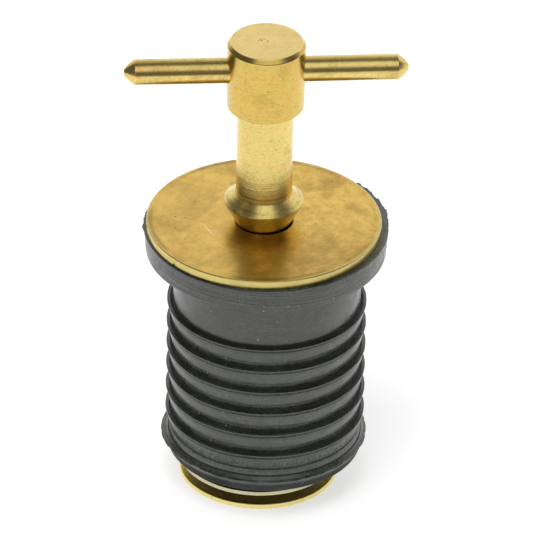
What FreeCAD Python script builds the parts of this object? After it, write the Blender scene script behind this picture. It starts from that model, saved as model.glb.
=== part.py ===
"""T-handle expanding drain plug for a boat: turned brass spindle and cross bar, brass plate,
ribbed rubber body, thrust washer and flanged nut. Millimetres, +Z up, origin under the nut."""
import FreeCAD, Part
import os

from FreeCAD import Placement, Rotation, Vector
from Sketcher import Constraint

doc = FreeCAD.newDocument("drain_plug")
sheet = doc.addObject("Spreadsheet::Sheet", "sizes")

# Sizes that a maker would set, with what each one is
DRIVING = (
    ("lip_dia", 31.0, "rubber, across the lip of each rib"),
    ("core_dia", 29.2, "rubber, across the neck and the floors of the grooves"),
    ("shoulder_dia", 30.24, "rubber, across the rounded shoulder of each rib"),
    ("flange_dia", 37.8, "rubber flange, across its upper edge"),
    ("flange_foot_dia", 37.3, "rubber flange, across its lower edge"),
    ("flange_thick", 3.75, "rubber flange, thickness"),
    ("neck_height", 9.1, "from the flange to the first lip"),
    ("flare_height", 1.15, "from a lip up to where the wall above it starts to flare"),
    ("rib_pitch", 3.9, "from lip to lip"),
    ("rib_count", 5, "ribs between the neck and the bottom band"),
    ("groove_height", 1.17, "from a lip's underside to the next shoulder"),
    ("waist_dia", 29.6, "rubber, across the waist of a rib, where its flare starts"),
    ("band_height", 3.74, "from the last shoulder to the moulding seam"),
    ("skirt_dia", 31.3, "rubber, across the skirt at the mould's seam"),
    ("skirt_drop", 1.33, "from the seam to the skirt's lower edge"),
    ("tail_height", 2.25, "from the skirt's lower edge to the bottom face"),
    ("foot_dia", 25.6, "rubber, across the bottom face"),
    ("rubber_shift", 0.65, "how far the loose rubber lies to +X of the spindle"),
    ("rubber_play", 0.3, "gap left between the rubber and the metal inside it"),
    ("plate_dia", 36.5, "top plate, diameter"),
    ("plate_thick", 1.45, "top plate, thickness"),
    ("plate_bevel", 0.25, "bevel that stands for the plate's rolled upper edge"),
    ("plate_hole_dia", 9.0, "hole in the top plate"),
    ("plate_shift", 0.12, "how far the loose plate lies to +X of the spindle"),
    ("head_reach", 32.1, "from the plate's top to the head's top"),
    ("head_height", 11.3, "head of the spindle, height"),
    ("head_dia", 12.15, "head, just under its chamfer"),
    ("head_foot_dia", 11.95, "head, at its lower end"),
    ("head_chamfer", 0.34, "head chamfer, measured across"),
    ("head_chamfer_drop", 0.78, "head chamfer, measured down"),
    ("shank_dia", 8.7, "shank between head and collar"),
    ("collar_dia", 12.3, "widest ring of the double-cone collar"),
    ("collar_rise", 3.73, "from the plate's top to that ring"),
    ("collar_land", 0.2, "straight edge of that ring"),
    ("collar_top", 5.25, "from the plate's top to the end of the upper cone"),
    ("cone_foot_dia", 8.6, "lower cone, at the level of the plate's top"),
    ("stud_dia", 6.3, "threaded stud, over the crests of a 1/4 in thread"),
    ("stud_chamfer", 0.6, "chamfer at the stud's end"),
    ("stud_recess", 0.3, "how far the stud's end lies inside the nut"),
    ("thread_play", 0.05, "running gap between stud and nut, each side"),
    ("bar_dia", 4.0, "cross bar, diameter"),
    ("bar_length", 43.9, "cross bar, length"),
    ("bar_drop", 5.0, "from the head's top to the bar's axis"),
    ("bar_tip_dia", 1.0, "flat tip of the bar's bullet ends"),
    ("bar_tip_length", 1.65, "length of the bullet ends"),
    ("disc_dia", 24.8, "thrust washer and nut flange, diameter"),
    ("washer_thick", 0.85, "thrust washer, thickness"),
    ("washer_play", 0.1, "gap between the washer and the nut's barrel, each side"),
    ("nut_flange_thick", 0.85, "flange of the nut, thickness"),
    ("nut_step_dia", 12.0, "step of the nut that carries the washer"),
    ("nut_step_height", 1.5, "height of that step"),
    ("nut_barrel_dia", 9.4, "barrel of the nut, inside the rubber"),
    ("nut_barrel_height", 6.0, "height of the barrel above the step"),
)

# Sizes that follow from them: radii, heights in each piece and places in the whole
DERIVED = (
    ("lip_r", "=lip_dia / 2"),
    ("core_r", "=core_dia / 2"),
    ("shoulder_r", "=shoulder_dia / 2"),
    ("waist_r", "=waist_dia / 2"),
    ("flange_r", "=flange_dia / 2"),
    ("flange_foot_r", "=flange_foot_dia / 2"),
    ("skirt_r", "=skirt_dia / 2"),
    ("foot_r", "=foot_dia / 2"),
    ("clear_r", "=flange_dia / 2 + 1"),
    ("skirt_z", "=tail_height"),
    ("seam_z", "=skirt_z + skirt_drop"),
    ("last_shoulder_z", "=seam_z + band_height"),
    ("last_lip_z", "=last_shoulder_z + groove_height"),
    ("first_lip_z", "=last_lip_z + rib_count * rib_pitch"),
    ("first_shoulder_z", "=first_lip_z - groove_height"),
    ("second_lip_z", "=first_lip_z - rib_pitch"),
    ("first_waist_z", "=second_lip_z + flare_height"),
    ("rib_run", "=(rib_count - 1) * rib_pitch"),
    ("neck_flare_z", "=first_lip_z + flare_height"),
    ("flange_z", "=first_lip_z + neck_height"),
    ("rubber_height", "=flange_z + flange_thick"),
    ("stud_r", "=stud_dia / 2"),
    ("stud_tip_r", "=stud_r - stud_chamfer"),
    ("bore_r", "=stud_r + rubber_shift + rubber_play"),
    ("counterbore_r", "=nut_barrel_dia / 2 + rubber_shift + rubber_play"),
    ("counterbore_z", "=nut_barrel_height - washer_thick + rubber_play"),
    ("plate_r", "=plate_dia / 2"),
    ("plate_flat_r", "=plate_r - plate_bevel"),
    ("plate_bevel_z", "=plate_thick - plate_bevel"),
    ("plate_hole_r", "=plate_hole_dia / 2"),
    ("disc_r", "=disc_dia / 2"),
    ("washer_hole_r", "=nut_barrel_dia / 2 + washer_play"),
    ("nut_step_r", "=nut_step_dia / 2"),
    ("nut_step_z", "=nut_flange_thick + nut_step_height"),
    ("nut_barrel_r", "=nut_barrel_dia / 2"),
    ("nut_barrel_z", "=nut_step_z + nut_barrel_height"),
    ("nut_bore_r", "=stud_r + thread_play"),
    ("washer_base_z", "=nut_step_z"),
    ("rubber_base_z", "=washer_base_z + washer_thick"),
    ("plate_base_z", "=rubber_base_z + rubber_height"),
    ("plate_top_z", "=plate_base_z + plate_thick"),
    ("seat_z", "=plate_top_z - stud_recess"),
    ("cone_foot_r", "=cone_foot_dia / 2"),
    ("collar_r", "=collar_dia / 2"),
    ("collar_low_z", "=seat_z + collar_rise - collar_land / 2"),
    ("collar_high_z", "=seat_z + collar_rise + collar_land / 2"),
    ("shank_r", "=shank_dia / 2"),
    ("shank_z", "=seat_z + collar_top"),
    ("head_z", "=seat_z + head_reach - head_height"),
    ("head_foot_r", "=head_foot_dia / 2"),
    ("head_r", "=head_dia / 2"),
    ("head_chamfer_z", "=seat_z + head_reach - head_chamfer_drop"),
    ("head_top_r", "=head_r - head_chamfer"),
    ("head_top_z", "=seat_z + head_reach"),
    ("bar_hole_z", "=head_top_z - bar_drop"),
    ("bar_r", "=bar_dia / 2"),
    ("bar_tip_r", "=bar_tip_dia / 2"),
    ("bar_far_tip_z", "=bar_length - bar_tip_length"),
    ("bar_base_x", "=-bar_length / 2"),
    ("bar_axis_z", "=stud_recess + bar_hole_z"),
)


def fill_sheet():
    """Write every size in a cell of its own, under its name."""
    row = 0
    for name, value, note in DRIVING:
        row += 1
        sheet.set(f"A{row}", str(value))
        sheet.setAlias(f"A{row}", name)
        sheet.set(f"B{row}", note)
    for name, formula in DERIVED:
        row += 1
        sheet.setAlias(f"A{row}", name)
        sheet.set(f"A{row}", formula)
    doc.recompute()


def cell(name):
    """The number in a named cell."""
    return float(sheet.get(name))


def origin_plane(body, role):
    """One of the body's own origin planes."""
    return next(plane for plane in body.Origin.OriginFeatures if plane.Role == role)


def new_body(label):
    """An empty body whose label names its piece."""
    body = doc.addObject("PartDesign::Body", label)
    body.Label = label
    return body


def new_sketch(body, name, role):
    """An empty sketch on one of the body's origin planes."""
    sketch = body.newObject("Sketcher::SketchObject", name)
    sketch.AttachmentSupport = (origin_plane(body, role), [""])
    sketch.MapMode = "FlatFace"
    return sketch


def tie(sketch, kind, geometry, place, name):
    """Hold one point of the sketch at a named distance from the origin, or on an axis for no name."""
    if name is None:
        axis = -2 if kind == "DistanceX" else -1
        sketch.addConstraint(Constraint("PointOnObject", geometry, place, axis))
        return
    index = sketch.addConstraint(Constraint(kind, -1, 1, geometry, place, cell(name)))
    sketch.setExpression(f"Constraints[{index}]", f"sizes.{name}")


def outline(body, name, corners):
    """A closed outline in the XZ plane. Corners are pairs of cells, radius and height, None for 0."""
    sketch = new_sketch(body, name, "XZ_Plane")
    points = [Vector(cell(r) if r else 0, cell(z) if z else 0, 0) for r, z in corners]
    for start, end in zip(points, points[1:] + points[:1]):
        sketch.addGeometry(Part.LineSegment(start, end))
    for number, (radius, height) in enumerate(corners):
        after = (number + 1) % len(corners)
        sketch.addConstraint(Constraint("Coincident", number, 2, after, 1))
        tie(sketch, "DistanceX", number, 1, radius)
        tie(sketch, "DistanceY", number, 1, height)
    return sketch


def turn(body, name, sketch, kind="Revolution"):
    """Turn an outline about Z, as stock or as a groove, and check that it changed the body."""
    before = body.Shape.Volume if kind == "Groove" else 0.0
    feature = body.newObject(f"PartDesign::{kind}", name)
    feature.Profile = sketch
    feature.ReferenceAxis = (sketch, ["V_Axis"])
    feature.Angle = 360
    sketch.Visibility = False
    doc.recompute()
    if kind == "Groove" and body.Shape.Volume >= before:
        raise ValueError(f"{name} cut nothing")
    return feature


def place(body, x=None, z=None):
    """Set the body's place in the whole from named cells."""
    if x:
        body.setExpression(".Placement.Base.x", f"sizes.{x}")
    if z:
        body.setExpression(".Placement.Base.z", f"sizes.{z}")


def make_flange_nut():
    """Turned brass nut: a wide thin flange below, a step for the washer and a threaded barrel."""
    body = new_body("flange_nut")
    turn(body, "nut_turning", outline(body, "nut_outline", (
        ("nut_bore_r", None),
        ("disc_r", None),
        ("disc_r", "nut_flange_thick"),
        ("nut_step_r", "nut_flange_thick"),
        ("nut_step_r", "nut_step_z"),
        ("nut_barrel_r", "nut_step_z"),
        ("nut_barrel_r", "nut_barrel_z"),
        ("nut_bore_r", "nut_barrel_z"),
    )))
    return body


def make_thrust_washer():
    """Flat washer that pushes the rubber up. It sits on the nut's step."""
    body = new_body("thrust_washer")
    turn(body, "washer_turning", outline(body, "washer_outline", (
        ("washer_hole_r", None),
        ("disc_r", None),
        ("disc_r", "washer_thick"),
        ("washer_hole_r", "washer_thick"),
    )))
    place(body, z="washer_base_z")
    return body


def make_rubber_plug():
    """Moulded rubber: flange, flared neck, waisted ribs with sharp lips, bottom band and skirt."""
    body = new_body("rubber_plug")
    turn(body, "rubber_blank", outline(body, "blank_outline", (
        ("counterbore_r", None),
        ("foot_r", None),
        ("lip_r", "skirt_z"),
        ("skirt_r", "seam_z"),
        ("lip_r", "last_shoulder_z"),
        ("lip_r", "first_lip_z"),
        ("core_r", "neck_flare_z"),
        ("core_r", "flange_z"),
        ("flange_foot_r", "flange_z"),
        ("flange_r", "rubber_height"),
        ("bore_r", "rubber_height"),
        ("bore_r", "counterbore_z"),
        ("counterbore_r", "counterbore_z"),
    )))
    rib_gap = turn(body, "rib_gap", outline(body, "rib_gap_outline", (
        ("clear_r", "first_lip_z"),
        ("core_r", "first_lip_z"),
        ("shoulder_r", "first_shoulder_z"),
        ("waist_r", "first_waist_z"),
        ("lip_r", "second_lip_z"),
        ("clear_r", "second_lip_z"),
    )), "Groove")
    ribs = body.newObject("PartDesign::LinearPattern", "ribs")
    ribs.Originals = [rib_gap]
    ribs.Direction = (doc.getObject("rib_gap_outline"), ["V_Axis"])
    ribs.Reversed = True
    ribs.setExpression("Length", "sizes.rib_run")
    ribs.setExpression("Occurrences", "sizes.rib_count")
    body.Tip = ribs
    doc.recompute()
    turn(body, "last_gap", outline(body, "last_gap_outline", (
        ("clear_r", "last_lip_z"),
        ("core_r", "last_lip_z"),
        ("shoulder_r", "last_shoulder_z"),
        ("skirt_r", "seam_z"),
        ("clear_r", "seam_z"),
    )), "Groove")
    place(body, x="rubber_shift", z="rubber_base_z")
    return body


def make_top_plate():
    """Stamped brass plate on the flange, bevelled above, with a hole for the spindle."""
    body = new_body("top_plate")
    turn(body, "plate_turning", outline(body, "plate_outline", (
        ("plate_hole_r", None),
        ("plate_r", None),
        ("plate_r", "plate_bevel_z"),
        ("plate_flat_r", "plate_thick"),
        ("plate_hole_r", "plate_thick"),
    )))
    place(body, x="plate_shift", z="plate_base_z")
    return body


def make_spindle():
    """Turned brass spindle: stud, double-cone collar, shank and head, cross-drilled for the bar."""
    body = new_body("spindle")
    turn(body, "spindle_turning", outline(body, "spindle_outline", (
        (None, None),
        ("stud_tip_r", None),
        ("stud_r", "stud_chamfer"),
        ("stud_r", "seat_z"),
        ("cone_foot_r", "seat_z"),
        ("collar_r", "collar_low_z"),
        ("collar_r", "collar_high_z"),
        ("shank_r", "shank_z"),
        ("shank_r", "head_z"),
        ("head_foot_r", "head_z"),
        ("head_r", "head_chamfer_z"),
        ("head_top_r", "head_top_z"),
        (None, "head_top_z"),
    )))
    drilling = new_sketch(body, "drilling", "YZ_Plane")
    centre = Vector(0, cell("bar_hole_z"), 0)
    drilling.addGeometry(Part.Circle(centre, Vector(0, 0, 1), cell("bar_r")))
    tie(drilling, "DistanceX", 0, 3, None)
    tie(drilling, "DistanceY", 0, 3, "bar_hole_z")
    index = drilling.addConstraint(Constraint("Radius", 0, cell("bar_r")))
    drilling.setExpression(f"Constraints[{index}]", "sizes.bar_r")
    uncut = body.Shape.Volume
    cross_hole = body.newObject("PartDesign::Pocket", "cross_hole")
    cross_hole.Profile = drilling
    cross_hole.Type = "ThroughAll"
    cross_hole.Midplane = True
    doc.recompute()
    if body.Shape.Volume >= uncut:
        raise ValueError("cross_hole cut nothing")
    place(body, z="stud_recess")
    return body


def make_tee_bar():
    """Brass cross bar with bullet ends, pressed through the head. It lies along X."""
    body = new_body("tee_bar")
    turn(body, "bar_turning", outline(body, "bar_outline", (
        (None, None),
        ("bar_tip_r", None),
        ("bar_r", "bar_tip_length"),
        ("bar_r", "bar_far_tip_z"),
        ("bar_tip_r", "bar_length"),
        (None, "bar_length"),
    )))
    body.Placement = Placement(Vector(0, 0, 0), Rotation(Vector(0, 1, 0), 90))
    place(body, x="bar_base_x", z="bar_axis_z")
    return body


def check_and_write(bodies):
    """Stop on any failed feature or bad solid, then write each piece to its own file."""
    doc.recompute()
    for item in doc.Objects:
        if "Invalid" in item.State or "Error" in item.State:
            raise ValueError(f"{item.Label} failed: {item.State}")
    for body in bodies:
        if body.Shape.isNull() or not body.Shape.isValid() or len(body.Shape.Solids) != 1:
            raise ValueError(f"{body.Label} is not one valid solid")
    os.makedirs("parts", exist_ok=True)
    for body in bodies:
        body.Shape.exportStep(f"parts/{body.Label}.step")
        box = body.Shape.BoundBox
        print(f"{body.Label}: {body.Shape.Volume:.1f} mm3, Z {box.ZMin:.3f} to {box.ZMax:.3f}")


fill_sheet()
check_and_write([
    make_flange_nut(),
    make_thrust_washer(),
    make_rubber_plug(),
    make_top_plate(),
    make_spindle(),
    make_tee_bar(),
])
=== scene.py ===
"""Looks of an expanding boat drain plug: turned brass T-handle, brass plate, ribbed black rubber,
thrust washer and flanged nut. Laid out as an add-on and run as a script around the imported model."""
import math

import bmesh
import bpy
from bpy.props import FloatProperty, FloatVectorProperty, IntProperty, PointerProperty
from bpy.types import Operator, Panel, PropertyGroup
from mathutils import Matrix, Vector, noise
from mathutils.bvhtree import BVHTree


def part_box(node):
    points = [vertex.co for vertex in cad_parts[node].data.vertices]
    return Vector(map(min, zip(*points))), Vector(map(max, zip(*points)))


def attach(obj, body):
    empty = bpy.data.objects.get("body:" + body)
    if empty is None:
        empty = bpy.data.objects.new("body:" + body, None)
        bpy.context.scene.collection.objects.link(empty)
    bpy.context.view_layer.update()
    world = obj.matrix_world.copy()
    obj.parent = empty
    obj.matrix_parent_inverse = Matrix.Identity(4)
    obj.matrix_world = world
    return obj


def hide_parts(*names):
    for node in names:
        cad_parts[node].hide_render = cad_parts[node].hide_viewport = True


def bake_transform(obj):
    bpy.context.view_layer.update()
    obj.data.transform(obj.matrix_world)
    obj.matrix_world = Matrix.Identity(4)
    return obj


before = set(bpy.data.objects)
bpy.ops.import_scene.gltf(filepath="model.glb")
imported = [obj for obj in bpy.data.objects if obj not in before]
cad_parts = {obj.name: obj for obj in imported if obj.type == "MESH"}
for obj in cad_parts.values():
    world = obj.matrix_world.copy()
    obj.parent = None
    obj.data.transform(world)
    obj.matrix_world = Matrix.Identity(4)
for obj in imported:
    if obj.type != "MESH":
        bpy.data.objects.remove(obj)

bl_info = {
    "name": "Boat drain plug",
    "version": (1, 0, 0),
    "blender": (4, 5, 0),
    "location": "3D View > Sidebar > Drain plug",
    "description": "Makes a T-handle expanding drain plug in brass and ribbed rubber",
    "category": "Add Mesh",
}

MM = 0.001
TAU = math.tau
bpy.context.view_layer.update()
RUBBER_LOW, RUBBER_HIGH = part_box("rubber_plug")
PLATE_LOW, PLATE_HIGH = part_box("top_plate")
SPINDLE_LOW, SPINDLE_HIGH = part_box("spindle")
BAR_LOW, BAR_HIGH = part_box("tee_bar")
WASHER_LOW, WASHER_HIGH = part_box("thrust_washer")
NUT_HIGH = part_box("flange_nut")[1]


# Sizes and colours


def length(name, value, description):
    """A length property. The value is in millimetres and is kept in metres."""
    return FloatProperty(name=name, description=description, default=value * MM, precision=5, unit="LENGTH")


def amount(name, value, description):
    """A plain number property."""
    return FloatProperty(name=name, description=description, default=value, precision=4)


def degrees(name, value, description):
    """An angle property, given in degrees."""
    return FloatProperty(name=name, description=description, default=math.radians(value), subtype="ANGLE")


def colour(name, value, description):
    """A colour property."""
    return FloatVectorProperty(name=name, description=description, default=value, subtype="COLOR", min=0, max=1)


class PLUG_PG_rubber(PropertyGroup):
    """Sizes of the rubber body. Heights are above the table."""

    crest: length("Crest radius", 15.5, "Over the sharp upper edge of each rib")
    core: length("Core radius", 14.6, "Neck and foot of each groove")
    hollow: length("Hollow radius", 15.2, "Slight hollow just under a crest")
    bulge: length("Bulge radius", 15.17, "Slight bulge below that hollow")
    waist: length("Waist radius", 14.82, "A rib's wall low down")
    land: length("Crest land", 0.2, "Straight edge of a crest")
    fillet: length("Groove fillet", 0.3, "Between a rib's wall and the next ledge")
    pitch: length("Rib pitch", 3.9, "From crest to crest")
    ribs: IntProperty(name="Ribs", description="Between neck and bottom band", default=5, min=1)
    first_crest: length("First crest", 31.19, "Height of the first crest")
    seam: length("Seam height", 7.1, "Height of the moulding seam")
    band: length("Band radius", 15.0, "Bottom band just above the seam")
    skirt: length("Skirt radius", 15.6, "Skirt beside the seam")
    fin: length("Seam fin radius", 15.8, "Usual reach of the thin fin at the seam")
    foot: length("Foot radius", 12.3, "Bottom face")
    tail: length("Tail radius", 15.0, "Where the tail turns in to the bottom face")
    tail_rise: length("Tail rise", 1.8, "From the bottom face up to that turn")
    flange: length("Flange radius", 18.9, "Flange's upper edge")
    flange_foot: length("Flange foot radius", 18.65, "Flange's lower edge")
    flange_low: length("Flange underside", 40.29, "Height of the flange's underside")
    bore: length("Bore radius", 4.1, "Bore round the stud")
    counterbore: length("Counterbore radius", 5.65, "Room for the nut's barrel")
    counterbore_top: length("Counterbore top", 8.65, "Height of the counterbore's end")
    shift: length("Shift", 0.65, "How far the loose rubber lies off the spindle's axis")
    lean: length("Lean", 0.15, "How far the ribs lie beyond the shift, and the flange short of it")
    waver: length("Waver", 0.035, "Unevenness of the outside")
    chipped: length("Chipped", 0.03, "Unevenness of the crests")
    torn: length("Torn", 0.12, "Unevenness of the seam's fin")
    trimmed: length("Trimmed", 0.5, "Closer cut of the flange at the rear left")
    foot_back: length("Foot back", 0.25, "How far the foot lies towards the back")
    steps: IntProperty(name="Steps round", description="Divisions round the rubber", default=256, min=32)


class PLUG_PG_metal(PropertyGroup):
    """Sizes of the brass pieces."""

    head: length("Head radius", 6.075, "Head below its chamfer")
    head_foot: length("Head foot radius", 5.975, "Head's lower end")
    head_height: length("Head height", 11.3, "Height of the head")
    chamfer: length("Chamfer", 0.52, "Chamfer of the head, measured across")
    chamfer_drop: length("Chamfer drop", 0.64, "Chamfer of the head, measured down")
    shank: length("Shank radius", 4.35, "Plain shank between head and collar")
    collar: length("Collar radius", 6.15, "Collar's widest ring")
    collar_rise: length("Collar rise", 3.73, "From the plate's top to the collar's widest ring")
    collar_top: length("Collar top", 5.25, "From the plate's top to the end of the upper cone")
    cone_foot: length("Cone foot radius", 4.3, "Lower cone at the plate's top")
    stud: length("Stud radius", 3.15, "Over the crests of the thread")
    stud_core: length("Stud core radius", 2.55, "Roots of the thread")
    thread_pitch: length("Thread pitch", 1.27, "Rise of the thread in one turn")
    bar: length("Bar radius", 2.0, "Cross bar")
    bar_nose: length("Bar nose radius", 0.52, "Flat nose of the bar's bullet ends")
    bar_tip: length("Bar tip length", 1.65, "Length of the bullet ends")
    plate_hole: length("Plate hole radius", 4.5, "Hole in the top plate")
    plate_shift: length("Plate shift", 0.12, "How far the loose plate lies off the spindle's axis")
    disc: length("Disc radius", 12.4, "Washer and nut's flange")
    nut_step: length("Nut step radius", 6.0, "Step that carries the washer")
    nut_barrel: length("Nut barrel radius", 4.7, "Nut's barrel")
    nut_bore: length("Nut bore radius", 3.2, "Nut's threaded hole")
    nut_flange: length("Nut flange", 0.85, "Thickness of the nut's flange")
    steps: IntProperty(name="Steps round", description="Divisions round the turned pieces", default=192, min=24)


class PLUG_PG_finish(PropertyGroup):
    """Colours and finish."""

    brass: colour("Brass", (0.80, 0.63, 0.215), "Clean turned brass")
    bar_brass: colour("Bar brass", (0.82, 0.63, 0.22), "Drawn brass of the cross bar")
    sheet_brass: colour("Sheet brass", (0.91, 0.62, 0.15), "Rolled brass of the plate")
    dull_brass: colour("Dull brass", (0.42, 0.26, 0.06), "Tarnished brass")
    pale_brass: colour("Pale brass", (0.86, 0.72, 0.40), "Freshly cut brass on rims and edges")
    washer_brass: colour("Washer brass", (0.56, 0.55, 0.38), "Greyish brass of the washer")
    nut_brass: colour("Nut brass", (1.0, 0.87, 0.34), "Bright brass of the nut")
    copper_tint: colour("Copper tint", (1.0, 0.84, 0.78), "Reddish cloud on brass")
    olive_tint: colour("Olive tint", (0.83, 0.87, 0.66), "Greenish cloud on brass")
    grit_tint: colour("Grit tint", (0.72, 0.68, 0.55), "Fine grit on brass")
    groove: colour("Groove", (0.34, 0.24, 0.06), "Tool marks on the lower shank")
    head_side: colour("Head side", (0.88, 0.80, 0.62), "Tint of the head's side")
    head_top: colour("Head top", (0.95, 0.71, 0.28), "Patches on the head's top")
    centre_mark: colour("Centre mark", (0.17, 0.09, 0.035), "Marks in the middle of the head's top")
    plate_left: colour("Plate left", (0.78, 0.52, 0.15), "Lighter left half of the plate")
    plate_ring: colour("Plate ring", (0.20, 0.13, 0.05), "Dark line inside the plate's edge")
    pit: colour("Pit", (0.15, 0.08, 0.03), "Pits in the plate")
    scratch: colour("Scratch", (0.95, 0.80, 0.45), "Scratches on the plate")
    plate_rim: colour("Plate rim", (0.62, 0.53, 0.20), "Cut rim of the plate")
    # Painted shade and reflection in the gap between washer and nut
    grime: colour("Grime", (0.62, 0.54, 0.30), "Olive grime between washer and nut")
    rubber: colour("Rubber", (0.012, 0.015, 0.012), "Clean rubber")
    # Also used, lightened, as a painted highlight on the rubber's rounded edges
    rubber_dusty: colour("Dusty rubber", (0.064, 0.077, 0.053), "Rubber with a film of mould dust")
    crumb: colour("Crumb", (0.42, 0.38, 0.29), "Specks of dust and chalk")
    floor: colour("Floor", (0.86, 0.86, 0.86), "Floor of the studio")


class PLUG_PG_stage(PropertyGroup):
    """Camera and light."""

    elevation: degrees("Elevation", 32.0, "Height of the camera above the horizon")
    turn: degrees("Turn", 4.6, "How far the camera stands to the left of the front")
    roll: degrees("Roll", 1.15, "Lean of the camera")
    distance: length("Distance", 2000.0, "From the camera to the aim")
    lens: amount("Lens", 871.0, "Focal length in millimetres")
    aim_x: length("Aim across", 0.65, "Where the camera aims, across")
    aim_z: length("Aim height", 36.85, "Where the camera aims, in height")
    tent: length("Tent radius", 420.0, "Radius of the light tent")
    tent_dark: amount("Tent dark", 0.13, "Level of the tent's dark front and roof")
    lamp: amount("Lamp", 6.0, "Power of the soft lamp in watts")
    lamp_size: length("Lamp size", 900.0, "Width of the soft lamp")
    floor_glow: amount("Floor glow", 0.53, "What the white floor adds for the camera and in reflections")
    floor_half: length("Floor half", 8000.0, "Half the width of the floor")


# Shapes


class Millimetres:
    """Reads the lengths of a property group in millimetres."""

    def __init__(self, group):
        self.group = group

    def __getattr__(self, name):
        return getattr(self.group, name) / MM


def soften(corners, closed=True, arc_steps=5, run=None):
    """Rounds the corners (r, z, radius) of an outline that runs anticlockwise. Gives (r, z, corner),
    where corner is 1 on a rounded edge, -1 in a rounded hollow and 0 on the flats. Long runs may be cut.
    A point just beside each rounding keeps the shading of the flat even."""
    points = []
    count = len(corners)
    for i, (r, z, radius) in enumerate(corners):
        here = Vector((r, z))
        at_end = not closed and i in (0, count - 1)
        if radius <= 0 or at_end:
            points.append((r, z, 0.0))
            continue
        before = Vector(corners[i - 1][:2]) - here
        after = Vector(corners[(i + 1) % count][:2]) - here
        half = before.angle(after) / 2
        reach = radius / math.tan(half)
        first = here + before.normalized() * reach
        last = here + after.normalized() * reach
        centre = here + (before.normalized() + after.normalized()).normalized() * radius / math.sin(half)
        side = 1.0 if before.x * after.y - before.y * after.x < 0 else -1.0
        beside = min(0.35 * radius, 0.04)
        points.append((*(first + before.normalized() * beside), 0.0))
        start = math.atan2(first.y - centre.y, first.x - centre.x)
        turn = (math.atan2(last.y - centre.y, last.x - centre.x) - start + math.pi) % TAU - math.pi
        for k in range(arc_steps + 1):
            a = start + turn * k / arc_steps
            points.append((centre.x + radius * math.cos(a), centre.y + radius * math.sin(a), side))
        points.append((*(last + after.normalized() * beside), 0.0))
    return cut_runs(points, closed, run) if run else points


def cut_runs(points, closed, run):
    """Cuts runs longer than run into equal parts."""
    made = []
    for i, (r, z, corner) in enumerate(points):
        made.append((r, z, corner))
        if i == len(points) - 1 and not closed:
            break
        r2, z2, _ = points[(i + 1) % len(points)]
        parts = int(math.hypot(r2 - r, z2 - z) / run)
        for k in range(1, parts + 1):
            f = k / (parts + 1)
            made.append((r + (r2 - r) * f, z + (z2 - z) * f, 0.0))
    return made


def bend_between(start, end, sag, steps):
    """Corners along a shallow arc from start to end that bulges to its right by sag, without its ends."""
    a, b = Vector(start), Vector(end)
    along = b - a
    side = Vector((along.y, -along.x)).normalized()
    return [(*(a + along * t + side * (4 * sag * t * (1 - t))), 0.0) for t in (k / steps for k in range(1, steps))]


def turned_mesh(name, outline, steps, shift=0.0, closed=True, shape=None):
    """Turns an outline of (r, z, corner) in millimetres about Z. shape(angle, r, z) may give another (r, z)."""
    bm = bmesh.new()
    layer = bm.verts.layers.float.new("corner")
    rings = []
    for k in range(steps):
        angle = TAU * k / steps
        ring = []
        for r, z, corner in outline:
            if shape:
                r, z = shape(angle, r, z)
            vert = bm.verts.new(Vector((r * math.cos(angle) + shift, r * math.sin(angle), z)) * MM)
            vert[layer] = corner
            ring.append(vert)
        rings.append(ring)
    spans = len(outline) if closed else len(outline) - 1
    for k, ring in enumerate(rings):
        after = rings[(k + 1) % steps]
        for i in range(spans):
            j = (i + 1) % len(outline)
            bm.faces.new((ring[i], after[i], after[j], ring[j]))
    return weld(bm, name)


def weld(bm, name):
    """Merges doubles, points the faces outwards and makes the mesh."""
    bmesh.ops.remove_doubles(bm, verts=bm.verts, dist=0.0004 * MM)
    bmesh.ops.dissolve_degenerate(bm, edges=bm.edges, dist=0.0002 * MM)
    bmesh.ops.recalc_face_normals(bm, faces=bm.faces)
    mesh = bpy.data.meshes.new(name)
    bm.to_mesh(mesh)
    bm.free()
    return mesh


def laid_along_x(mesh, height):
    """Turns a mesh made about Z so that it lies along X at the given height."""
    mesh.transform(Matrix.Translation((0, 0, height)) @ Matrix.Rotation(math.pi / 2, 4, "Y"))


def linked_object(name, data):
    """A plain object in the scene."""
    obj = bpy.data.objects.new(name, data)
    bpy.context.scene.collection.objects.link(obj)
    return obj


def piece(name, mesh, material, sharp=40.0):
    """A smooth object at the origin with its material."""
    mesh.materials.clear()
    mesh.materials.append(material)
    mesh.shade_smooth()
    mesh.set_sharp_from_angle(angle=math.radians(sharp))
    return linked_object(name, mesh)


def settle(obj, body, slot, *nodes):
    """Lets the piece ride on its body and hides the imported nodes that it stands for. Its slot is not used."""
    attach(obj, body)
    if nodes:
        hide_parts(*nodes)


def applied(obj, modifier):
    """The plain mesh that an object has with its modifier. The modifier and the object are removed."""
    view = bpy.context.evaluated_depsgraph_get()
    mesh = bpy.data.meshes.new_from_object(obj.evaluated_get(view))
    obj.modifiers.remove(modifier)
    bpy.data.objects.remove(obj)
    return mesh


def rough(angle, scale, seed):
    """Uneven value round a ring, about -1 to 1."""
    place = Vector((math.cos(angle) * scale, math.sin(angle) * scale, seed))
    return noise.noise(place) + 0.5 * noise.noise(place * 2.7) + 0.3 * noise.noise(place * 6.1)


def near_angle(angle, centre, width):
    """1 at the centre angle, falling to 0 at width either side. All in degrees but angle."""
    gap = abs((math.degrees(angle) - centre + 180.0) % 360.0 - 180.0) / width
    return max(0.0, 1.0 - gap * gap) ** 2 if gap < 1 else 0.0


# Nodes


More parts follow.
